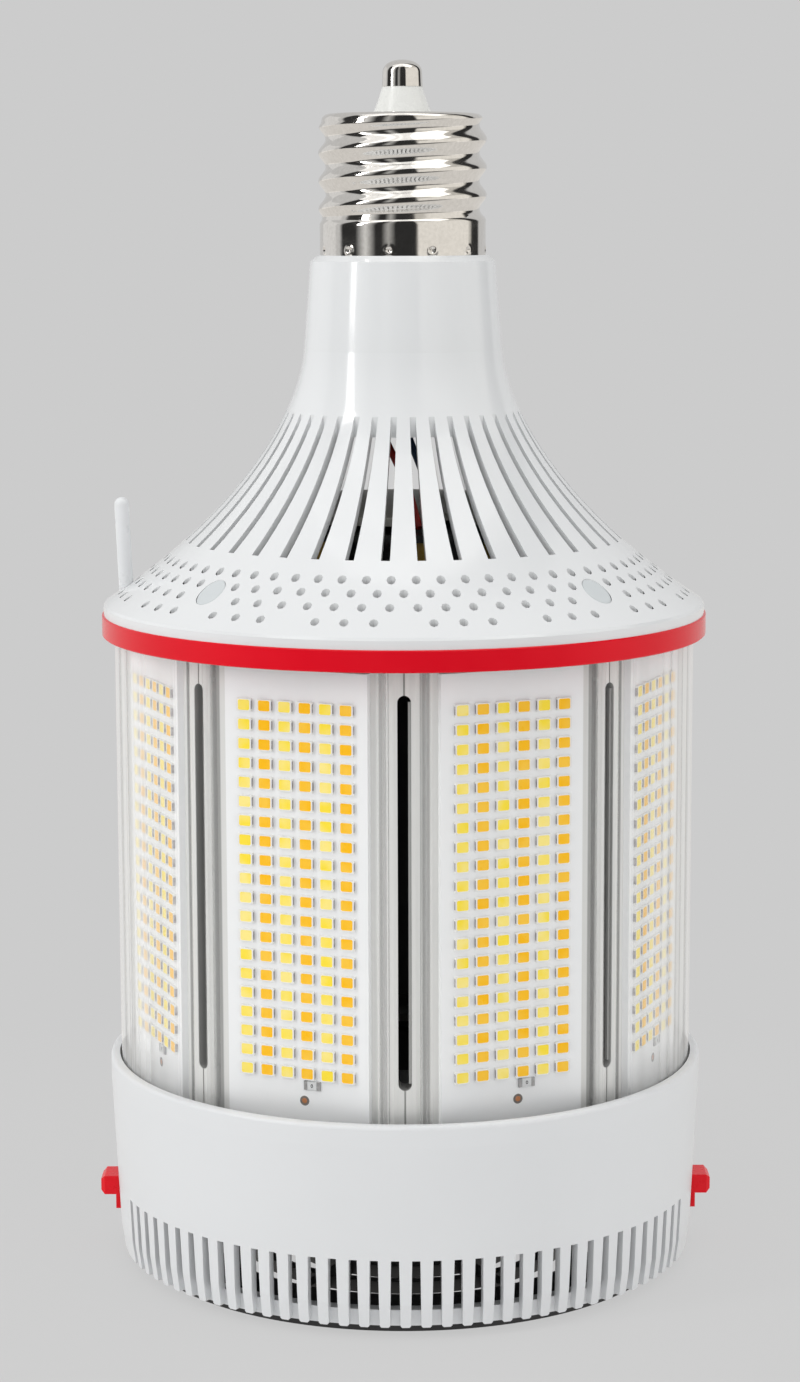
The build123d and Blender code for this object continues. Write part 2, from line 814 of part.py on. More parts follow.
with BuildPart() as driver_parts:
    with BuildSketch(Plane.XY.offset(board_z)):
        for azimuth in part_azimuths:
            with PolarLocations(part_r, 1, start_angle=azimuth - 90):
                Rectangle(part_t, part_w)
    extrude(amount=-part_h)
driver_parts.part.label = "driver_parts"
export_step(driver_parts.part, "parts/driver_parts.step")

with BuildPart() as driver_standoffs:
    with BuildSketch(Plane.XY.offset(board_z + driver_board_t)):
        with PolarLocations(standoff_r, 4, start_angle=corner_step):
            Circle(standoff_d / 2)
    extrude(amount=standoff_h)
driver_standoffs.part.label = "driver_standoffs"
export_step(driver_standoffs.part, "parts/driver_standoffs.step")

shield_z = board_z + driver_board_t + standoff_h
with BuildPart() as driver_shield:
    with BuildSketch(Plane.XY.offset(shield_z)):
        Circle(shield_r)
        with PolarLocations(shield_r, 1, start_angle=notch_azimuth - 90):
            Rectangle(2 * notch_depth, notch_w, mode=Mode.SUBTRACT)
    extrude(amount=shield_t)
driver_shield.part.label = "driver_shield"
export_step(driver_shield.part, "parts/driver_shield.step")

# Lead wires from the screw base down the neck and through the shield's notch
wire_top = pin_top_z - pin_stem_h - moulded_gap
wire_low = board_z + driver_board_t + wire_d / 2
lead_routes = {
    "lead_red": (
        (0, 0, wire_top),
        (0, 0, wire_top - 22),
        (-5, -7, neck_low_z + 6),
        (-7, -16, neck_low_z - 14),
        (1, -26, wire_low + 9),
        (3.5, -32, wire_low),
    ),
    "lead_blue": (
        (13, 4, wire_top - 6),
        (11, 3, wire_top - 26),
        (2, -7, neck_low_z + 5),
        (-1, -15, neck_low_z - 14),
        (6, -26, wire_low + 8),
        (8.5, -31, wire_low),
    ),
}
for name, route in lead_routes.items():
    runs = [math.dist(a, b) for a, b in zip(route, route[1:])]
    ways = [(Vector(b) - Vector(a)) for a, b in zip(route, route[1:])]
    radii = [
        0.45 * min(runs[i], runs[i + 1]) / math.tan(math.radians(ways[i].get_angle(ways[i + 1])) / 2)
        for i in range(len(runs) - 1)
    ]
    print(name, "radii", [round(r, 1) for r in radii])
    with BuildPart() as lead:
        with BuildLine() as path:
            FilletPolyline(*route, radius=radii)
        with BuildSketch(Plane(origin=route[0], z_dir=ways[0])):
            Circle(wire_d / 2)
        sweep(path=path.line)
    lead.part.label = name
    export_step(lead.part, f"parts/{name}.step")
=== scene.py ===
import math

import bpy
import numpy as np
from mathutils import Matrix, Vector


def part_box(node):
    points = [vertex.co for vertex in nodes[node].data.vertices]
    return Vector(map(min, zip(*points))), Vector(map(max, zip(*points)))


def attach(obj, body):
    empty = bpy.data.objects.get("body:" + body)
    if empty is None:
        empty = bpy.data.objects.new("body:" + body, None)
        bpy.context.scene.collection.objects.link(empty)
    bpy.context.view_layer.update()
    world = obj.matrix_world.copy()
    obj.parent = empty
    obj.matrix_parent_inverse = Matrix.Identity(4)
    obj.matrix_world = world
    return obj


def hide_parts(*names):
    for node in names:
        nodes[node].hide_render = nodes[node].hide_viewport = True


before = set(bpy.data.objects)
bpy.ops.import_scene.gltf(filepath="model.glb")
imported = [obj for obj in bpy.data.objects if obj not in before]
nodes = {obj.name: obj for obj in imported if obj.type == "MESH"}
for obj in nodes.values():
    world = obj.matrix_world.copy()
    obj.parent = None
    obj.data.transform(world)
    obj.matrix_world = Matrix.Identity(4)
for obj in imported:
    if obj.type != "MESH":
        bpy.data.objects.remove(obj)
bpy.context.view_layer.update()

# ---------------------------------------------------------------- camera

PHOTO_H = 1382
FOCAL_PX = 3119.34
SENSOR_MM = 36
PITCH, YAW, ROLL = (math.radians(a) for a in (8.5985, -0.0750, -0.1749))
CAMERA_PLACE = (0, -0.73597, 0.24733)

forward = Vector((math.sin(YAW) * math.cos(PITCH), math.cos(YAW) * math.cos(PITCH), -math.sin(PITCH)))
level = Vector((math.cos(YAW), -math.sin(YAW), 0))
upward = level.cross(forward)
right = math.cos(ROLL) * level + math.sin(ROLL) * upward
up = -math.sin(ROLL) * level + math.cos(ROLL) * upward
rows = [(*row, place) for row, place in zip(zip(right, up, -forward), CAMERA_PLACE)]
camera = bpy.data.objects.new("camera", bpy.data.cameras.new("camera"))
camera.data.sensor_width = SENSOR_MM
camera.data.lens = FOCAL_PX * SENSOR_MM / PHOTO_H
camera.data.clip_start = 0.01
camera.data.clip_end = 50
camera.matrix_world = Matrix(rows + [(0, 0, 0, 1)])
bpy.context.scene.collection.objects.link(camera)
bpy.context.scene.camera = camera
bpy.context.scene.view_settings.view_transform = "Standard"

# ---------------------------------------------------------------- node and material helpers

BACKGROUND = (0.604, 0.604, 0.604, 1)
WARM = (1.0, 0.975, 0.94)


class Tree:
    """A node tree, with short ways to add, set and join nodes."""

    def __init__(self, tree):
        self.tree = tree

    def feed(self, socket, value):
        """Joins a node's output to a socket, or sets the socket to a number or colour."""
        if isinstance(value, bpy.types.NodeSocket):
            self.tree.links.new(value, socket)
        else:
            socket.default_value = value

    def add(self, kind, inputs=(), **settings):
        """New node; inputs says what goes into its sockets, by name or number."""
        node = self.tree.nodes.new(kind)
        for key, value in settings.items():
            setattr(node, key, value)
        for key, value in dict(inputs).items():
            self.feed(node.inputs[key], value)
        return node

    def calc(self, operation, *values):
        """Math node on sockets and numbers."""
        return self.add("ShaderNodeMath", enumerate(values), operation=operation).outputs[0]

    def vector(self, operation, *values):
        """Outputs of a vector math node on sockets and vectors."""
        return self.add("ShaderNodeVectorMath", enumerate(values), operation=operation).outputs

    def ramp(self, value, stops):
        """Colour between stops, each a position and a colour."""
        ramp = self.add("ShaderNodeValToRGB", {"Fac": value})
        band = ramp.color_ramp
        while len(band.elements) < len(stops):
            band.elements.new(0.5)
        for element, (position, colour) in zip(band.elements, stops):
            element.position = position
            element.color = (*colour, 1)
        return ramp.outputs["Color"]

    def spread(self, value, low, high, start=0.3, end=0.7):
        """Value that goes from low to high between start and end, and stays there outside them."""
        return self.add("ShaderNodeMapRange", {
            "Value": value, "From Min": start, "From Max": end, "To Min": low, "To Max": high,
        }).outputs["Result"]

    def mix(self, share, first, second):
        """Mix of two shaders, with a share of the second."""
        return self.add("ShaderNodeMixShader", {"Fac": share, 1: first, 2: second}).outputs[0]


class Surface(Tree):
    """A material's nodes round its Principled shader."""

    def __init__(self, name):
        self.material = bpy.data.materials.new(name)
        self.material.use_nodes = True
        super().__init__(self.material.node_tree)
        self.shader = self.tree.nodes["Principled BSDF"]
        self.places = self.add("ShaderNodeTexCoord").outputs["Object"]

    def set(self, inputs):
        """What goes into the Principled shader's sockets, by name."""
        for key, value in dict(inputs).items():
            self.feed(self.shader.inputs[key], value)

    def noise(self, size, detail=3.0, stretch=(1, 1, 1)):
        """Noise with features about size metres across."""
        scaled = self.add("ShaderNodeMapping", {"Vector": self.places, "Scale": stretch})
        return self.add("ShaderNodeTexNoise", {
            "Vector": scaled.outputs["Vector"], "Scale": 1 / size, "Detail": detail,
        }).outputs["Fac"]

    def bump(self, value, height):
        """Relief of a height in metres."""
        bump = self.add("ShaderNodeBump", {"Height": value, "Distance": height})
        self.set({"Normal": bump.outputs["Normal"]})

    def darker(self, colour, factor):
        """Colour multiplied by a factor."""
        mixed = self.add(
            "ShaderNodeMix", {"Factor": 1.0, "A": colour, "B": factor}, data_type="RGBA", blend_type="MULTIPLY"
        )
        return mixed.outputs["Result"]

    def shade_inside(self, colour, share):
        """Colour, darkened on faces that look towards the lamp's axis, where little light comes in."""
        flat = self.vector("MULTIPLY", self.places, (1, 1, 0))["Vector"]
        outwards = self.vector("NORMALIZE", flat)["Vector"]
        normal = self.add("ShaderNodeNewGeometry").outputs["Normal"]
        facing = self.vector("DOT_PRODUCT", normal, outwards)["Value"]
        return self.darker(colour, self.spread(facing, share, 1.0, -0.5, -0.2))


def tinted(colour, share):
    """Colour made brighter by a share, or darker by a share below zero."""
    return tuple(min(1.0, c * (1 + share)) for c in colour)


def finish(name, colour, rough, tint, patch, grain, height, inside=None, sockets=()):
    """Moulded, coated or plated surface: slow changes of colour, finer ones of gloss and a fine grain.

    tint is the share by which the colour varies over patches, patch and grain are sizes and height is
    the grain's relief, all three in metres; inside is the share of the colour that painted shade leaves on
    inner faces.
    """
    m = Surface(name)
    varied = m.ramp(m.noise(patch), ((0.3, tinted(colour, -tint)), (0.7, tinted(colour, tint))))
    m.set({
        "Base Color": varied if inside is None else m.shade_inside(varied, inside),
        "Roughness": m.spread(m.noise(patch / 4), rough * 0.85, rough * 1.15),
    })
    m.bump(m.noise(grain, 2.0), height)
    m.set(sockets)
    return m


def dress(node, m):
    """Gives a CAD node one material."""
    data = nodes[node].data
    data.materials.clear()
    data.materials.append(m.material)


def new_object(name, verts, faces, materials, indices=None, smooth=None, body="lamp"):
    """Mesh object that rides on a body; verts are in metres."""
    data = bpy.data.meshes.new(name)
    data.from_pydata(verts, [], faces)
    for m in materials:
        data.materials.append(m.material)
    if indices is not None:
        data.polygons.foreach_set("material_index", indices)
    if smooth is not None:
        data.polygons.foreach_set("use_smooth", [True] * len(faces))
        data.set_sharp_from_angle(angle=math.radians(smooth))
    data.update()
    obj = bpy.data.objects.new(name, data)
    bpy.context.scene.collection.objects.link(obj)
    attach(obj, body)
    return obj


# ---------------------------------------------------------------- materials

# Painted shade: share of the colour left on the housing's and collar's inner faces
INSIDE_SHADE_SHARE = 0.10

housing_white = finish(
    "housing_white", (0.79, 0.80, 0.805), rough=0.16, tint=0.012, patch=0.05, grain=0.0008, height=0.000003,
    inside=INSIDE_SHADE_SHARE, sockets={"Coat Weight": 0.35, "Coat Roughness": 0.04},
)
collar_white = finish(
    "collar_white", (0.79, 0.80, 0.81), rough=0.38, tint=0.012, patch=0.04, grain=0.0005, height=0.000006,
    inside=INSIDE_SHADE_SHARE,
)
plug_grey = finish(
    "plug_grey", (0.63, 0.66, 0.67), rough=0.65, tint=0.015, patch=0.01, grain=0.0005, height=0.000004,
    sockets={"Specular IOR Level": 0.2},
)
insulator_white = finish(
    "insulator_white", (0.82, 0.82, 0.79), rough=0.28, tint=0.02, patch=0.008, grain=0.0006, height=0.000006
)
ring_red = finish(
    "ring_red", (0.76, 0.002, 0.014), rough=0.22, tint=0.05, patch=0.03, grain=0.0006, height=0.000004,
    sockets={"Coat Weight": 0.08, "Coat Roughness": 0.05, "Specular IOR Level": 0.18},
)
latch_red = finish(
    "latch_red", (0.80, 0.004, 0.014), rough=0.30, tint=0.05, patch=0.006, grain=0.0004, height=0.000005,
    sockets={"Specular IOR Level": 0.22},
)
antenna_white = finish(
    "antenna_white", (0.80, 0.81, 0.82), rough=0.30, tint=0.015, patch=0.01, grain=0.0005, height=0.000004
)
black_plastic = finish(
    "black_plastic", (0.018, 0.018, 0.020), rough=0.42, tint=0.25, patch=0.01, grain=0.0005, height=0.00001
)
fan_black = finish(
    "fan_black", (0.028, 0.028, 0.032), rough=0.35, tint=0.25, patch=0.012, grain=0.0006, height=0.00001
)
copper_winding = finish(
    "copper_winding", (0.55, 0.25, 0.11), rough=0.35, tint=0.15, patch=0.004, grain=0.0005, height=0.00006,
    sockets={"Metallic": 0.9},
)
driver_black = finish(
    "driver_black", (0.030, 0.030, 0.032), rough=0.5, tint=0.3, patch=0.01, grain=0.0008, height=0.00003
)
board_dark = finish(
    "board_dark", (0.030, 0.032, 0.030), rough=0.45, tint=0.4, patch=0.004, grain=0.0006, height=0.00002
)
part_amber = finish(
    "part_amber", (0.42, 0.27, 0.06), rough=0.3, tint=0.2, patch=0.004, grain=0.0005, height=0.00002
)
shield_beige = finish(
    "shield_beige", (0.42, 0.41, 0.37), rough=0.5, tint=0.08, patch=0.01, grain=0.0006, height=0.00001
)
wire_red = finish(
    "wire_red", (0.50, 0.030, 0.025), rough=0.4, tint=0.1, patch=0.005, grain=0.0005, height=0.00001
)
wire_blue = finish(
    "wire_blue", (0.050, 0.085, 0.16), rough=0.4, tint=0.1, patch=0.005, grain=0.0005, height=0.00001
)
screw_steel = finish(
    "screw_steel", (0.62, 0.62, 0.63), rough=0.3, tint=0.05, patch=0.004, grain=0.0004, height=0.00001,
    sockets={"Metallic": 1.0},
)
package_white = finish(
    "package_white", (0.88, 0.87, 0.84), rough=0.35, tint=0.02, patch=0.004, grain=0.0004, height=0.000004
)
terminal_grey = finish(
    "terminal_grey", (0.42, 0.40, 0.40), rough=0.5, tint=0.35, patch=0.0012, grain=0.0003, height=0.00002
)
chip_white = finish(
    "chip_white", (0.70, 0.71, 0.71), rough=0.4, tint=0.03, patch=0.002, grain=0.0003, height=0.000006
)
solder = finish(
    "solder", (0.45, 0.45, 0.46), rough=0.35, tint=0.2, patch=0.001, grain=0.0004, height=0.00003,
    sockets={"Metallic": 0.8},
)
mark_black = finish(
    "mark_black", (0.04, 0.04, 0.045), rough=0.5, tint=0.1, patch=0.001, grain=0.0003, height=0.000004
)
dot_copper = finish(
    "dot_copper", (0.62, 0.26, 0.12), rough=0.4, tint=0.08, patch=0.0008, grain=0.0003, height=0.00001,
    sockets={"Metallic": 0.6},
)
dot_edge = finish(
    "dot_edge", (0.20, 0.18, 0.16), rough=0.5, tint=0.15, patch=0.0008, grain=0.0003, height=0.00001
)

# Nickel plate with a faint speckle
nickel = Surface("nickel")
speckle = nickel.noise(0.0009, 4.0)
nickel.set({
    "Base Color": nickel.ramp(speckle, ((0.35, (0.76, 0.735, 0.70)), (0.65, (0.82, 0.795, 0.76)))),
    "Roughness": nickel.spread(nickel.noise(0.004), 0.05, 0.12),
    "Metallic": 1.0,
})
nickel.bump(nickel.noise(0.0012), 0.0000025)

# Light grey coated aluminium with faint draw lines along Z, and painted shade in the channels beside the
# corner posts' middles and on the slots' walls
SLOT_HALF_M, SLOT_WALL_R_M, WALL_SHADE = 0.00152, 0.0648, 0.55
UNSHADED = (1, 1, 1)
# Painted shade across a post, by centimetres from its middle: darker in the channels beside it
CHANNEL_SHADE = ((0.00, UNSHADED), (0.385, UNSHADED), (0.405, (0.55, 0.55, 0.55)), (0.545, (0.50, 0.50, 0.50)), (0.57, UNSHADED))

sink_grey = Surface("sink_grey")
draw = sink_grey.noise(0.0012, 4.0, (1, 1, 0.02))
metal = sink_grey.ramp(draw, ((0.3, (0.76, 0.76, 0.74)), (0.7, (0.82, 0.82, 0.80))))
calc = sink_grey.calc
xyz = sink_grey.add("ShaderNodeSeparateXYZ", {"Vector": sink_grey.places}).outputs
from_axis = calc("SQRT", calc("ADD", calc("POWER", xyz["X"], 2), calc("POWER", xyz["Y"], 2)))
# Metres to the side of the nearest corner post's middle, from the azimuth folded every 45 degrees
to_side = calc("MULTIPLY", from_axis, calc("PINGPONG", calc("ARCTAN2", xyz["X"], xyz["Y"]), math.pi / 8))
channel_shade = sink_grey.ramp(calc("MULTIPLY", to_side, 100), CHANNEL_SHADE)
# Painted shade on the slots' walls, inside SLOT_WALL_R_M from the axis
on_wall = calc("MULTIPLY", calc("LESS_THAN", to_side, SLOT_HALF_M), calc("LESS_THAN", from_axis, SLOT_WALL_R_M))
slot_wall_shade = sink_grey.spread(on_wall, 1.0, WALL_SHADE, 0.0, 1.0)
sink_grey.set({
    "Base Color": sink_grey.darker(sink_grey.darker(metal, channel_shade), slot_wall_shade),
    "Roughness": sink_grey.spread(draw, 0.30, 0.45),
    "Metallic": 0.15,
})
sink_grey.bump(draw, 0.00001)

# White solder mask with the faint relief of the copper below it
board_white = Surface("board_white")
mask = board_white.noise(0.012)
board_white.set({
    "Base Color": board_white.ramp(mask, ((0.3, (0.93, 0.94, 0.945)), (0.7, (0.95, 0.955, 0.955)))),
    "Roughness": board_white.spread(mask, 0.28, 0.40),
})
board_white.bump(board_white.noise(0.0008), 0.000006)

# Emission of the phosphor, which glows a little though the LEDs are off: painted light
PHOSPHOR_GLOW = 0.07


def phosphor(name, pale, deep):
    """Phosphor gel in an LED's window, a little different from one LED to the next, with a faint painted glow.
    """
    m = Surface(name)
    m.set({
        "Base Color": m.ramp(m.noise(0.0065, 2.0), ((0.35, pale), (0.65, deep))),
        "Roughness": m.spread(m.noise(0.003), 0.25, 0.4),
        "Emission Color": (*deep, 1),
        "Emission Strength": PHOSPHOR_GLOW,
        "Specular IOR Level": 0.25,
    })
    m.bump(m.noise(0.0007, 2.0), 0.00001)
    return m


phosphor_yellow = phosphor("phosphor_yellow", (1.0, 0.84, 0.28), (1.0, 0.77, 0.05))
phosphor_amber = phosphor("phosphor_amber", (1.0, 0.60, 0.06), (1.0, 0.52, 0.004))

# Clear moulded cover: nearly invisible face on, and towards its edges denser, paler and streaky, which
# paints the reflections and highlight lines along them. Diffuse and shadow rays meet only PASSING_SHARE of
# that, so that light reaches the board and comes back.
PASSING_SHARE = 0.15

clear = Surface("clear_cover")
facing = clear.add("ShaderNodeLayerWeight", {"Blend": 0.30}).outputs["Facing"]
rays = clear.add("ShaderNodeLightPath").outputs
passing = clear.calc("MAXIMUM", rays["Is Diffuse Ray"], rays["Is Shadow Ray"])
reflection_streaks = clear.noise(0.0022, 3.0, (1, 1, 0.008))
clear.set({
    # Painted reflection: pale and grey streaks along Z, which show where the cover grows dense towards its
    # edges
    "Base Color": clear.ramp(
        reflection_streaks, ((0.36, (0.60, 0.60, 0.59)), (0.47, (0.88, 0.88, 0.87)), (0.70, (0.96, 0.96, 0.95)))
    ),
    "Roughness": clear.spread(clear.noise(0.03), 0.03, 0.07),
    "IOR": 1.5,
    "Alpha": clear.calc(
        "MULTIPLY", clear.spread(facing, 0.0, 0.85, 0.20, 0.85),
        clear.spread(passing, 1.0, PASSING_SHARE, 0.0, 1.0),
    ),
})
clear.bump(clear.noise(0.012, 1.0), 0.00002)

BOARDS = range(1, 9)

for node, m in {
    "contact_pin": nickel, "screw_shell": nickel, "base_insulator": insulator_white,
    "top_housing": housing_white, "screw_plugs": plug_grey, "housing_screws": screw_steel,
    "antenna": antenna_white, "trim_ring": ring_red, "heat_sink": sink_grey,
    "top_plate": sink_grey, "bottom_plate": sink_grey, "collar": collar_white,
    "bottom_grille": black_plastic, "fan_legs": black_plastic, "latch_guides": black_plastic,
    "latch_right": latch_red, "latch_left": latch_red, "driver_core": driver_black,
    "fan_frame": fan_black, "fan_stator": copper_winding, "fan_rotor": fan_black,
    "collar_screws": screw_steel, "driver_case": driver_black, "driver_board": board_dark,
    "driver_parts": part_amber, "driver_standoffs": insulator_white, "driver_shield": shield_beige,
    "lead_red": wire_red, "lead_blue": wire_blue,
}.items():
    dress(node, m)
for n in BOARDS:
    dress(f"led_board_{n}", board_white)
    dress(f"lens_cover_{n}", clear)

# ---------------------------------------------------------------- mesh helpers, in millimetres

MM = 0.001
CORNERS = ((-1, -1), (1, -1), (1, 1), (-1, 1))


def band(low, high, count):
    """Quads between two closed loops of verts, given their first indices."""
    return [(low + k, low + (k + 1) % count, high + (k + 1) % count, high + k) for k in range(count)]


def gather(pieces):
    """One mesh from pieces, each verts, faces and the faces' material indices."""
    verts, faces, indices = [], [], []
    for v, f, m in pieces:
        start = len(verts)
        verts += v
        faces += [tuple(start + k for k in face) for face in f]
        indices += m
    return verts, faces, indices


def turned(azimuth, across, height, out):
    """Point in metres, out from the axis at an azimuth from the front and across to the right of it."""
    a = math.radians(azimuth)
    x = math.sin(a) * out + math.cos(a) * across
    y = -math.cos(a) * out + math.sin(a) * across
    return x * MM, y * MM, height * MM


# ---------------------------------------------------------------- screw shell with its rolled thread

low, high = (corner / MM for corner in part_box("screw_shell"))
SHELL_FOOT, SHELL_TOP = low.z, high.z
# The pitch is the one measured in the photograph (the standard's is 6.35), and a crest stands at
# CREST_LEFT at the lamp's left
SKIRT_R, CREST_R, ROOT_R, SHELL_T = 19.4, 19.65, 17.95, 0.55
THREAD_PITCH, CREST_LEFT = 6.42, 249.75
# The skirt passes into the thread over the run-out, and the top edge is rolled inwards to the lip
RUN_OUT_LOW, RUN_OUT_HIGH = SHELL_FOOT + 7.0, SHELL_FOOT + 9.6
LIP_R, ROLL_R = 17.2, 1.7
ROLL_LOW = SHELL_TOP - ROLL_R
CRIMP_COUNT, CRIMP_FIRST, CRIMP_RISE, CRIMP_SQUASH = 12, -9.5, 1.25, 0.9
CRIMP_DEPTH, CRIMP_R = 0.42, 0.55
CRIMP_RIM_H, CRIMP_RIM_R, CRIMP_RIM_W = 0.12, 0.85, 0.25
CRIMPED_TOP = SHELL_FOOT + 2.4
COLUMNS, CRIMPED_ROWS, THREAD_ROWS, ROLL_ROWS = 384, 11, 76, 9


def smooth_step(x, low, high):
    """0 up to low, 1 from high on, and a smooth rise between them."""
    t = np.clip((x - low) / (high - low), 0, 1)
    return t * t * (3 - 2 * t)


azimuth = np.arange(COLUMNS) * 360.0 / COLUMNS
heights = np.concatenate([
    np.linspace(SHELL_FOOT, CRIMPED_TOP, CRIMPED_ROWS)[:-1],
    np.linspace(CRIMPED_TOP, ROLL_LOW, THREAD_ROWS)[:-1],
    ROLL_LOW + ROLL_R * np.sin(np.linspace(0, math.pi / 2, ROLL_ROWS)),
])
A, Z = np.meshgrid(azimuth, heights)
phase = 2 * math.pi * ((Z - CREST_LEFT) / THREAD_PITCH - (A + 90) / 360)
wave = (CREST_R + ROOT_R) / 2 + (CREST_R - ROOT_R) / 2 * np.cos(phase)
thread = SKIRT_R + (wave - SKIRT_R) * smooth_step(Z, RUN_OUT_LOW, RUN_OUT_HIGH)
rolled = LIP_R + np.sqrt(np.clip(ROLL_R**2 - np.clip(Z - ROLL_LOW, 0, None) ** 2, 0, None))
top_share = smooth_step(Z, SHELL_TOP - 2 * ROLL_R, ROLL_LOW)
R = np.where(Z > ROLL_LOW, np.minimum(rolled, thread + (rolled - thread) * top_share), thread)
R = np.minimum(R, thread + (np.minimum(thread, LIP_R + ROLL_R) - thread) * top_share)
# Round dents in the skirt, each with a low raised rim
for k in range(CRIMP_COUNT):
    turn = (A - CRIMP_FIRST - k * 360 / CRIMP_COUNT + 180) % 360 - 180
    rise = (Z - SHELL_FOOT - CRIMP_RISE) * CRIMP_SQUASH
    reach = np.sqrt((np.radians(turn) * SKIRT_R) ** 2 + rise**2)
    R = R - CRIMP_DEPTH * np.exp(-((reach / CRIMP_R) ** 4))
    R = R + CRIMP_RIM_H * np.exp(-(((reach - CRIMP_RIM_R) / CRIMP_RIM_W) ** 2))
R = np.minimum(R, CREST_R)
# Radius and height of the loops inside, from the lip down to the foot
inner_wall = (
    (LIP_R - 0.45, SHELL_TOP - 0.5), (ROOT_R - SHELL_T, SHELL_TOP - 1.0), (ROOT_R - SHELL_T, SHELL_FOOT + 10.2),
    (SKIRT_R - SHELL_T, SHELL_FOOT + 8.6), (SKIRT_R - SHELL_T, SHELL_FOOT),
)
R = np.vstack([R] + [np.full((1, COLUMNS), radius) for radius, _ in inner_wall])
Z = np.vstack([Z] + [np.full((1, COLUMNS), height) for _, height in inner_wall])
A = np.radians(np.vstack([A] + [azimuth] * len(inner_wall)))
verts = np.stack([R * np.sin(A), -R * np.cos(A), Z], -1).reshape(-1, 3) * MM
loops = R.shape[0]
faces = [face for i in range(loops) for face in band(i * COLUMNS, (i + 1) % loops * COLUMNS, COLUMNS)]
shell = new_object("screw_shell_threaded", verts.tolist(), faces, [nickel], smooth=50)
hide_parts("screw_shell")

# ---------------------------------------------------------------- screw plugs that follow the shoulder's curve

PLUG_R, PLUG_EDGE, PLUG_PLACE_R, PLUG_SUNK, PLUG_WALL = 3.25, 0.15, 61.0, 0.02, 1.4
PLUG_SIDES = 40
PLUG_RINGS = (
    (0.3 * PLUG_R, 0), (0.55 * PLUG_R, 0), (0.8 * PLUG_R, 0),
    (PLUG_R - PLUG_EDGE, 0), (PLUG_R, PLUG_EDGE), (PLUG_R, PLUG_WALL),
)
FLARE = ((23.3, 217.2), (24.452, 202.445), (38.208, 179.559), (70.6, 158.2))
HALVINGS = 40


def flare_height(radius):
    """Height of the shoulder's outer curve at a radius, by halving along the curve."""
    low, high = 0.0, 1.0
    for _ in range(HALVINGS):
        t = (low + high) / 2
        weights = ((1 - t) ** 3, 3 * t * (1 - t) ** 2, 3 * t * t * (1 - t), t**3)
        if sum(w * p[0] for w, p in zip(weights, FLARE)) < radius:
            low = t
        else:
            high = t
    return sum(w * p[1] for w, p in zip(weights, FLARE))


def plug_vert(x, y, radius, drop=0.0):
    """Point in metres, just below the shoulder's curve and lower by a drop."""
    return x * MM, y * MM, (flare_height(radius) - PLUG_SUNK - drop) * MM


verts, faces = [], []
for plug_azimuth in (45, 135, 225, 315):
    a = math.radians(plug_azimuth)
    cx, cy = PLUG_PLACE_R * math.sin(a), -PLUG_PLACE_R * math.cos(a)
    start = len(verts)
    verts.append(plug_vert(cx, cy, PLUG_PLACE_R))
    for ring_r, drop in PLUG_RINGS:
        for k in range(PLUG_SIDES):
            t = 2 * math.pi * k / PLUG_SIDES
            x, y = cx + ring_r * math.cos(t), cy + ring_r * math.sin(t)
            verts.append(plug_vert(x, y, math.hypot(x, y), drop))
    faces += [(start, start + 1 + k, start + 1 + (k + 1) % PLUG_SIDES) for k in range(PLUG_SIDES)]
    for i in range(len(PLUG_RINGS) - 1):
        lo, hi = start + 1 + i * PLUG_SIDES, start + 1 + (i + 1) * PLUG_SIDES
        for k in range(PLUG_SIDES):
            following = (k + 1) % PLUG_SIDES
            faces.append((lo + k, hi + k, hi + following, lo + following))
plugs = new_object("screw_plugs_smooth", verts, faces, [plug_grey], smooth=40)
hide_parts("screw_plugs")

# ---------------------------------------------------------------- LED packages and small parts on the boards

LED_COLUMNS, LED_PITCH_U = 6, 4.92
LED_ROWS, LED_TOP_Z, LED_PITCH_Z = 20, 141.2, 4.354
PACKAGE_W, PACKAGE_H, PACKAGE_T, TERMINAL_H = 3.5, 2.8, 0.7, 1.9
WINDOW_W, WINDOW_H, WINDOW_CUT, WINDOW_SINK, WINDOW_TAPER = 2.86, 2.42, 0.26, 0.03, 0.97
BOARD_FACE, BOARD_FIRST = 62.5, 22.5
JUMPER_U, JUMPER_Z, JUMPER_END = 3.5, 55.75, 1.55
SPOT_U, SPOT_Z = 1.5, 52.05
WHITE, TERMINAL, YELLOW, AMBER = range(4)
CHIP, SOLDER, MARK, DOT_EDGE, DOT = range(5)


def led_template():
    """Verts (u, z, out), faces and the faces' material indices of one package, its middle at (0, 0)."""
    w, h, t = PACKAGE_W / 2, PACKAGE_H / 2, PACKAGE_T
    a, b, c, e = WINDOW_W / 2, WINDOW_H / 2, WINDOW_CUT, TERMINAL_H / 2
    rim = [(-w, -h), (w, -h), (w, -e), (w, e), (w, h), (-w, h), (-w, e), (-w, -e)]
    ring = [
        (a - c, -b), (a, -b + c), (a, b - c), (a - c, b),
        (-a + c, b), (-a, b - c), (-a, -b + c), (-a + c, -b),
    ]
    v = [(x, y, out) for out in (0, t) for x, y in rim] + [(x, y, t) for x, y in ring]
    v += [(x * WINDOW_TAPER, y * WINDOW_TAPER, t - WINDOW_SINK) for x, y in ring]
    f = band(0, 8, 8)
    f += [(8 + k, 8 + (k + 1) % 8, 16 + k, 16 + (k - 1) % 8) for k in range(8)]
    f += band(16, 24, 8)
    f.append(tuple(range(24, 32)))
    m = [WHITE] * (len(f) - 1) + [YELLOW]
    m[2] = m[6] = TERMINAL
    return v, f, m


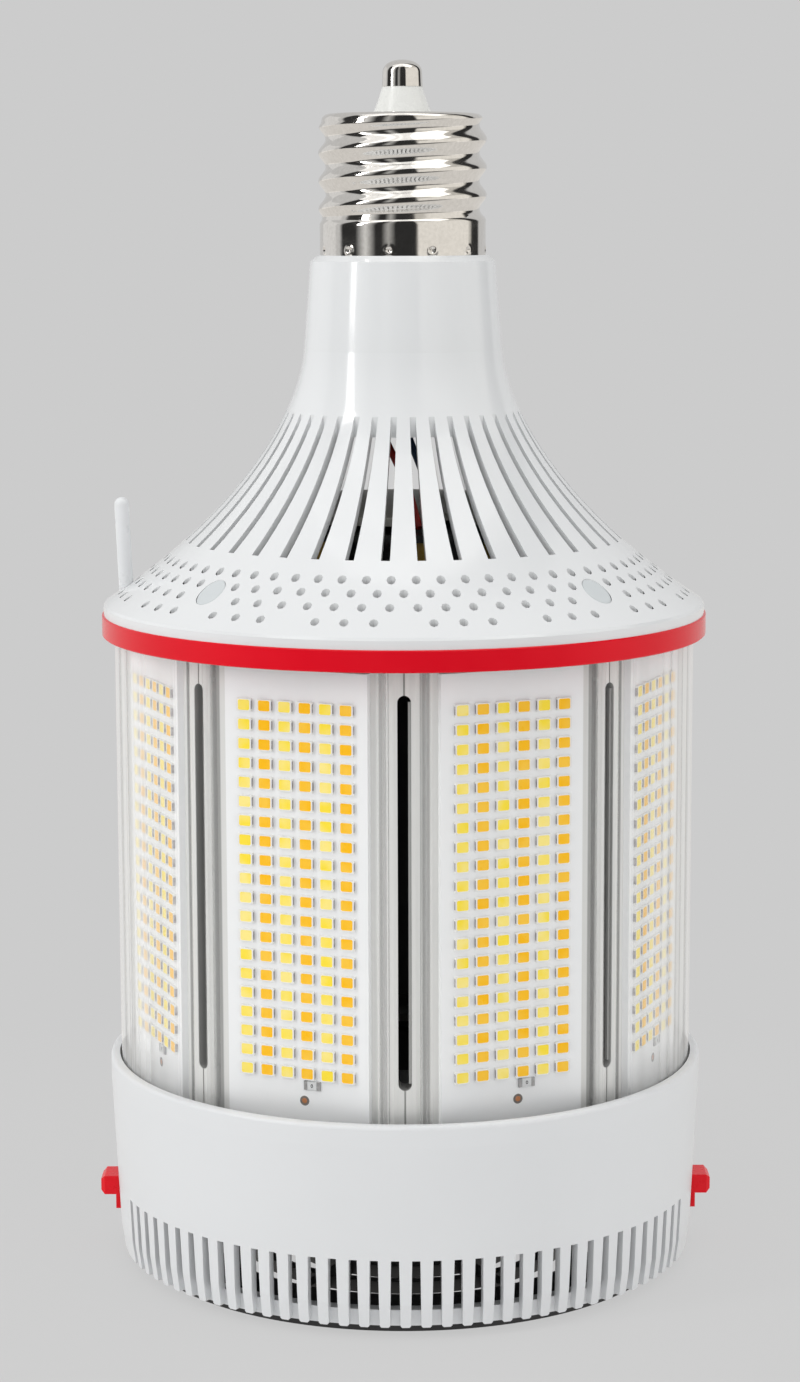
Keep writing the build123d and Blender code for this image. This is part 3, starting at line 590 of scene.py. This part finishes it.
def led(row, column):
    """Package at its place on the board; every second column is amber."""
    u0 = (column - (LED_COLUMNS - 1) / 2) * LED_PITCH_U
    z0 = LED_TOP_Z - row * LED_PITCH_Z
    moved = [(u + u0, z + z0, out) for u, z, out in TEMPLATE[0]]
    return moved, TEMPLATE[1], [AMBER if m == YELLOW and column % 2 else m for m in TEMPLATE[2]]


def block(index, u, z, w, h, t, cut):
    """Block on the board with chamfered front edges."""
    a, b = w / 2, h / 2
    v = [(u + x * a, z + y * b, 0.0) for x, y in CORNERS]
    v += [(u + x * a, z + y * b, t - cut) for x, y in CORNERS]
    v += [(u + x * (a - cut), z + y * (b - cut), t) for x, y in CORNERS]
    f = band(0, 4, 4) + band(4, 8, 4) + [(8, 9, 10, 11)]
    return v, f, [index] * len(f)


def rings(index, u, z, radii, outs, ratio=1.0, count=24, closed=False):
    """Loops round (u, z), joined from the outermost inwards; closed fills the last loop."""
    angles = [2 * math.pi * k / count for k in range(count)]
    v = [(u + ratio * r * math.cos(t), z + r * math.sin(t), out) for r, out in zip(radii, outs) for t in angles]
    f = [face for i in range(len(radii) - 1) for face in band(i * count, (i + 1) * count, count)]
    if closed:
        f.append(tuple(range((len(radii) - 1) * count, len(radii) * count)))
    return v, f, [index] * len(f)


def on_board(n, points):
    """Points (u, z, out) of board n in metres; u grows to the right as the board is looked at."""
    return [turned(BOARD_FIRST + 45 * (n - 1), u, z, BOARD_FACE + out) for u, z, out in points]


TEMPLATE = led_template()
led_points, led_faces, led_indices = gather(
    led(row, column) for row in range(LED_ROWS) for column in range(LED_COLUMNS)
)
part_points, part_faces, part_indices = gather((
    block(CHIP, JUMPER_U, JUMPER_Z, 2.3, 1.9, 0.50, 0.05),
    block(SOLDER, JUMPER_U - JUMPER_END, JUMPER_Z, 0.8, 2.0, 0.55, 0.08),
    block(SOLDER, JUMPER_U + JUMPER_END, JUMPER_Z, 0.8, 2.0, 0.55, 0.08),
    rings(MARK, JUMPER_U, JUMPER_Z, (0.42, 0.42, 0.22, 0.22), (0.50, 0.52, 0.52, 0.50), ratio=0.66),
    rings(DOT_EDGE, SPOT_U, SPOT_Z, (1.15, 1.10, 0.62), (0.0, 0.03, 0.03)),
    rings(DOT, SPOT_U, SPOT_Z, (0.62, 0.50), (0.03, 0.05), closed=True),
))
for n in BOARDS:
    new_object(
        f"led_packages_{n}", on_board(n, led_points), led_faces,
        [package_white, terminal_grey, phosphor_yellow, phosphor_amber], led_indices,
    )
    new_object(
        f"board_parts_{n}", on_board(n, part_points), part_faces,
        [chip_white, solder, mark_black, dot_edge, dot_copper], part_indices,
    )

# ---------------------------------------------------------------- inner edges that show in the corner slots

# A narrow strip inside each slot, at its right
SLOT_LOW, SLOT_HIGH = 57.6, 143.3
EDGE_OUTS, EDGE_ACROSS = (63.6, 64.3), (0.85, 1.46)
BOX_FACES = ((4, 6, 7, 5), (0, 1, 3, 2), (0, 4, 5, 1), (2, 3, 7, 6), (1, 5, 7, 3), (0, 2, 6, 4))
verts, faces, _ = gather(
    ([turned(45 * n, across, z, out) for out in EDGE_OUTS for across in EDGE_ACROSS
      for z in (SLOT_LOW, SLOT_HIGH)], BOX_FACES, [])
    for n in range(8)
)
# The strips lie on the slots' walls, so sink_grey gives them its painted shade
new_object("slot_edges", verts, faces, [sink_grey])

# ---------------------------------------------------------------- floor, world and lamps

FLOOR_HALF, FLOOR_Z = 4.0, -0.0003

# The floor is lit by the lamps near the object, passes into the plain background further out, and
# shows gloss a warm studio floor that fades towards the front
floor = Surface("floor")
floor.tree.nodes.remove(floor.shader)
rays = floor.add("ShaderNodeLightPath").outputs
tone = floor.ramp(floor.noise(0.4), ((0.3, (0.79, 0.79, 0.79)), (0.7, (0.81, 0.81, 0.81))))
lit = floor.add("ShaderNodeBsdfDiffuse", {"Color": tone})
plain = floor.add("ShaderNodeEmission", {"Color": BACKGROUND})
away = floor.vector("LENGTH", floor.places)["Value"]
share = floor.calc("MULTIPLY", rays["Is Camera Ray"], floor.spread(away, 0.86, 1.0, 0.06, 0.24))
ahead = floor.add("ShaderNodeSeparateXYZ", {"Vector": floor.places}).outputs["Y"]
mirrored = floor.add("ShaderNodeEmission", {
    "Color": (*WARM, 1), "Strength": floor.spread(ahead, 0.04, 0.74, -0.75, -0.35),
})
seen = floor.mix(share, lit.outputs[0], plain.outputs[0])
floor.feed(
    floor.tree.nodes["Material Output"].inputs["Surface"],
    floor.mix(rays["Is Glossy Ray"], seen, mirrored.outputs[0]),
)
data = bpy.data.meshes.new("floor")
data.from_pydata([(x * FLOOR_HALF, y * FLOOR_HALF, FLOOR_Z) for x, y in CORNERS], [], [(0, 1, 2, 3)])
data.materials.append(floor.material)
ground = bpy.data.objects.new("floor", data)
bpy.context.scene.collection.objects.link(ground)

# What gloss sees round the lamp, by degrees of azimuth from the front: pale background, dark studio
# with a bright strip and a dimmer one, and a beige panel
PALE, DARK, PANEL = (0.60, 0.60, 0.60), (0.03, 0.03, 0.03), (0.60, 0.58, 0.54)
GLOW, CLOUD = (0.75, 0.75, 0.74), (0.45, 0.45, 0.44)
STUDIO = (
    (-180, PALE), (-98, PALE), (-92, DARK), (-68, DARK), (-53, GLOW), (-38, DARK), (-29, DARK), (-20, CLOUD),
    (-10, DARK), (18, DARK), (22, PANEL), (107, PANEL), (111, DARK), (127, DARK), (131, PALE),
)

world = bpy.data.worlds.new("studio")
bpy.context.scene.world = world
world.use_nodes = True
world.node_tree.nodes.clear()
sky = Tree(world.node_tree)
rays = sky.add("ShaderNodeLightPath").outputs
soft = sky.add("ShaderNodeBackground", {"Color": (0.98, 0.99, 1.0, 1), "Strength": 0.685})
grey = sky.add("ShaderNodeBackground", {"Color": BACKGROUND})
way = sky.add("ShaderNodeSeparateXYZ", {"Vector": sky.add("ShaderNodeTexCoord").outputs["Generated"]}).outputs
around = sky.calc("ARCTAN2", way["X"], sky.calc("MULTIPLY", way["Y"], -1))
room = sky.ramp(
    sky.spread(around, 0.0, 1.0, -math.pi, math.pi), [(degrees / 360 + 0.5, tone) for degrees, tone in STUDIO]
)
studio = sky.add("ShaderNodeBackground", {"Color": room})
lighting = sky.mix(rays["Is Glossy Ray"], soft.outputs[0], studio.outputs[0])
plain_view = sky.calc("MAXIMUM", rays["Is Camera Ray"], rays["Is Transmission Ray"])
sky.add("ShaderNodeOutputWorld", {"Surface": sky.mix(plain_view, lighting, grey.outputs[0])})

AIM = Vector((0, 0, 0.16))


def softbox(name, azimuth, height, distance, width, tall, power, colour=(1.0, 0.995, 0.985)):
    """Rectangular lamp at an azimuth from the front, turned towards the middle of the object."""
    data = bpy.data.lights.new(name, "AREA")
    data.shape = "RECTANGLE"
    data.size, data.size_y = width, tall
    data.energy = power
    data.color = colour
    lamp = bpy.data.objects.new(name, data)
    a = math.radians(azimuth)
    lamp.location = (distance * math.sin(a), -distance * math.cos(a), height)
    lamp.rotation_euler = (AIM - lamp.location).to_track_quat("-Z", "Y").to_euler()
    bpy.context.scene.collection.objects.link(lamp)


softbox("panel_right", 62, height=0.35, distance=1.3, width=2.3, tall=1.9, power=3.9, colour=WARM)
softbox("strip_left", -62, height=0.78, distance=1.3, width=0.20, tall=0.90, power=5.0)
softbox("panel_left", -125, height=0.35, distance=1.4, width=1.0, tall=1.2, power=0.6)
softbox("overhead", 0, height=1.5, distance=0.30, width=2.2, tall=0.8, power=5.8)
